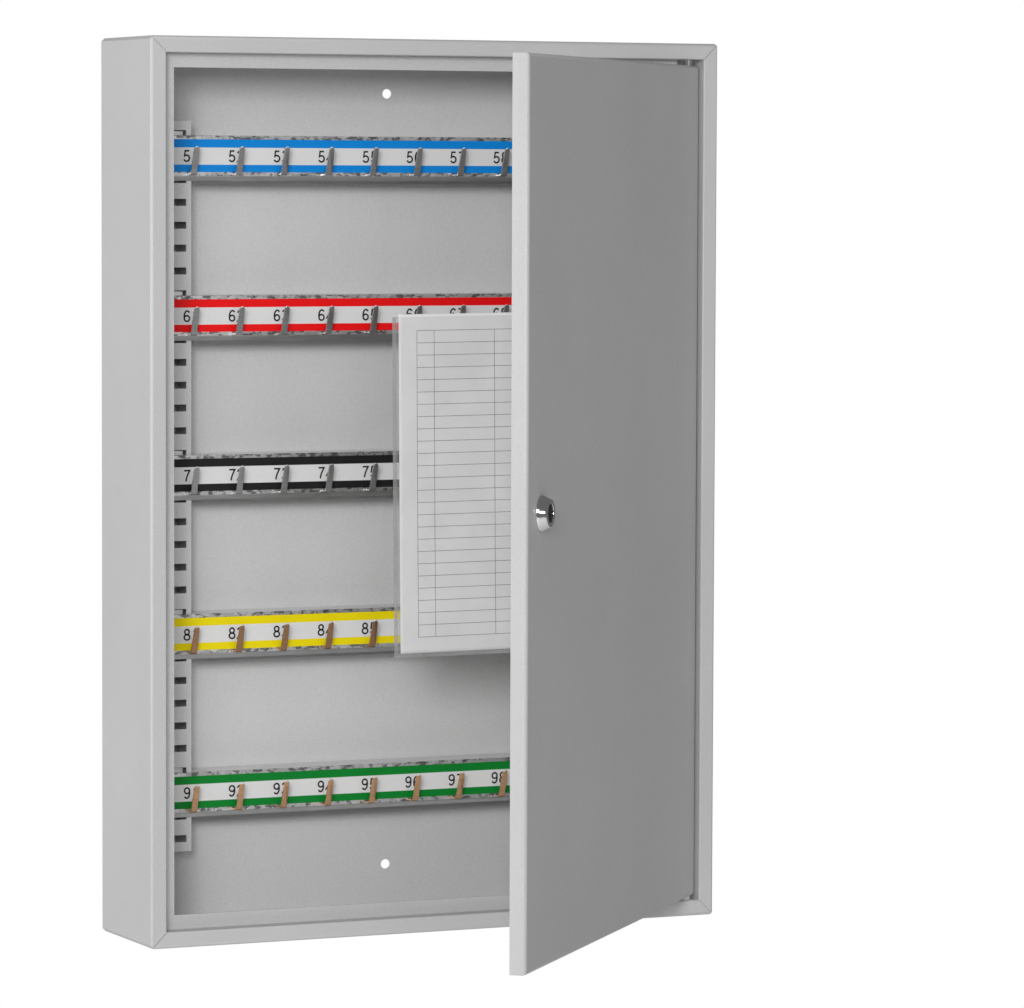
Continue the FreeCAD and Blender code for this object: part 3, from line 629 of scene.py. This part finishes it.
def film_gap(across, down):
    """Half the space between the films: closed at the welded edges, open over the paper."""
    from_left = across - film_left - WELD
    from_foot = down + SLEEVE_TALL - WELD
    from_spine = -SLEEVE_START - across - SPINE_CLOSED
    opened = (ease(from_left, EDGE_EASE) * ease(from_foot, EDGE_EASE)
              * ease(from_spine, SPINE_EASE))
    return FILM_CLOSED + FILM_GAP * opened


def films(bm):
    for side in (1, -1):
        grid(bm, film_left, plumb_edge, 0.0, -SLEEVE_TALL, 90, 90,
             lambda across, down: side * film_gap(across, down))


film = mesh_piece(
    "index_film", films, clear_film("clear_film", 0.2), "sleeve", smooth=True)
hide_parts("index_sleeve")


def welded_edges(bm):
    """The flattened seams down the outer edge and along the foot of the pocket."""
    inner = film_left + WELD
    for side in (1, -1):
        stand = standing(side * WELD_STAND)
        grid(bm, film_left, inner, 0.0, -SLEEVE_TALL, 3, 90, stand)
        grid(bm, inner, plumb_edge, WELD - SLEEVE_TALL, -SLEEVE_TALL, 90, 3, stand)


mesh_piece(
    "index_welds", welded_edges, clear_film("welded_film", 0.30), "sleeve",
    smooth=True)


def sheet_of_paper(bm):
    right = paper_left + PAPER_WIDE
    grid(bm, paper_left, right, paper_top, paper_foot, 70, 90, standing(0.0))


leaf = mesh_piece("index_paper", sheet_of_paper, paper("paper"), "sleeve", smooth=True)
thickness = leaf.modifiers.new("thickness", "SOLIDIFY")
thickness.thickness = PAPER_THICK
thickness.offset = 0
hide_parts("index_sheet")


def ruled_lines(bm):
    """The table's rules as slim ribbons printed on the front of the paper."""
    left = paper_left + RULED_LEFT
    top = paper_top - RULED_TOP
    foot = top - RULED_ROWS * RULED_PITCH
    proud = standing(RULE_STAND)
    half = RULE_WIDE / 2
    for row in range(RULED_ROWS + 1):
        level = top - row * RULED_PITCH
        grid(bm, left, left + RULED_WIDE, level + half, level - half, 60, 1, proud)
    for column in RULED_COLUMNS:
        across = left + column
        grid(bm, across - half, across + half, top, foot, 1, 80, proud)


mesh_piece("index_rules", ruled_lines, ink("rule_ink", 0.12), "sleeve")


# ---------------------------------------------------------------- camera

LENS = 182.1
CAMERA_PLACE = Vector((-1.2952, -2.9917, 0.1911))
CAMERA_YAW = math.radians(24.811)
CAMERA_PITCH = math.radians(3.610)
CAMERA_ROLL = math.radians(0.207)
SENSOR_WIDE = 36
CLIP_END = 60


def aim_camera():
    ahead = Vector((
        math.sin(CAMERA_YAW) * math.cos(CAMERA_PITCH),
        math.cos(CAMERA_YAW) * math.cos(CAMERA_PITCH),
        -math.sin(CAMERA_PITCH),
    ))
    level = Vector((math.cos(CAMERA_YAW), -math.sin(CAMERA_YAW), 0))
    upward = level.cross(ahead)
    right = math.cos(CAMERA_ROLL) * level + math.sin(CAMERA_ROLL) * upward
    up = -math.sin(CAMERA_ROLL) * level + math.cos(CAMERA_ROLL) * upward
    turn = Matrix((right, up, -ahead)).transposed()
    data = bpy.data.cameras.new("studio_camera")
    data.lens = LENS
    data.sensor_width = SENSOR_WIDE
    data.clip_end = CLIP_END
    camera = bpy.data.objects.new("studio_camera", data)
    camera.matrix_world = Matrix.Translation(CAMERA_PLACE) @ turn.to_4x4()
    bpy.context.scene.collection.objects.link(camera)
    bpy.context.scene.camera = camera


# ---------------------------------------------------------------- studio

FILL_LIGHT = 0.315
MIRRORED_ROOM = 0.14
HANG_HEIGHT = 1.2  # how high the case's foot hangs over the floor
FLOOR_HALF = 4.0
LIGHT_TARGET = (0, -0.1, 0)
LIGHTS = (
    # name, place, size, watts
    ("front_left_box", (-1.9, -2.6, 0.9), 0.9, 17.6),
    ("camera_box", (-0.6, -3.1, 0.7), 0.7, 7.0),
    ("side_box", (-2.5, 0.55, 0.2), 1.2, 26.1),
    ("key_box", (-1.75, -3.2, 0.75), 0.8, 49.0),
    ("front_box", (0.12, -3.0, 0.32), 0.45, 3.0),
)


def area_light(name, place, size, power):
    data = bpy.data.lights.new(name, "AREA")
    data.shape = "SQUARE"
    data.size = size
    data.energy = power
    light = bpy.data.objects.new(name, data)
    light.location = place
    facing = Vector(LIGHT_TARGET) - Vector(place)
    light.rotation_euler = facing.to_track_quat("-Z", "Y").to_euler()
    bpy.context.scene.collection.objects.link(light)


def studio_world():
    """White behind the object, an even dim fill on it, and a darker room in its reflections."""
    world = bpy.data.worlds.new("studio")
    bpy.context.scene.world = world
    world.use_nodes = True
    tree = world.node_tree
    tree.nodes.clear()
    path = tree.nodes.new("ShaderNodeLightPath")
    shown = None
    backgrounds = ((FILL_LIGHT, None), (MIRRORED_ROOM, "Is Glossy Ray"), (1.0, "Is Camera Ray"))
    for strength, ray in backgrounds:
        light = tree.nodes.new("ShaderNodeBackground")
        light.inputs["Color"].default_value = grey(1.0)
        light.inputs["Strength"].default_value = strength
        if ray is None:
            shown = light.outputs[0]
            continue
        choose = tree.nodes.new("ShaderNodeMixShader")
        tree.links.new(path.outputs[ray], choose.inputs["Fac"])
        tree.links.new(shown, choose.inputs[1])
        tree.links.new(light.outputs[0], choose.inputs[2])
        shown = choose.outputs[0]
    out = tree.nodes.new("ShaderNodeOutputWorld")
    tree.links.new(shown, out.inputs["Surface"])


def floor_plane():
    mesh = bpy.data.meshes.new("studio_floor")
    bm = bmesh.new()
    bmesh.ops.create_grid(bm, x_segments=8, y_segments=8, size=FLOOR_HALF)
    bm.to_mesh(mesh)
    bm.free()
    mesh.materials.append(studio_floor("studio_floor"))
    floor = bpy.data.objects.new("studio_floor", mesh)
    floor.location = (0, 0, cad_box[0].z - HANG_HEIGHT)
    bpy.context.scene.collection.objects.link(floor)


aim_camera()
studio_world()
floor_plane()
for light in LIGHTS:
    area_light(*light)

scene = bpy.context.scene
scene.view_settings.view_transform = "Standard"
scene.view_settings.look = "None"
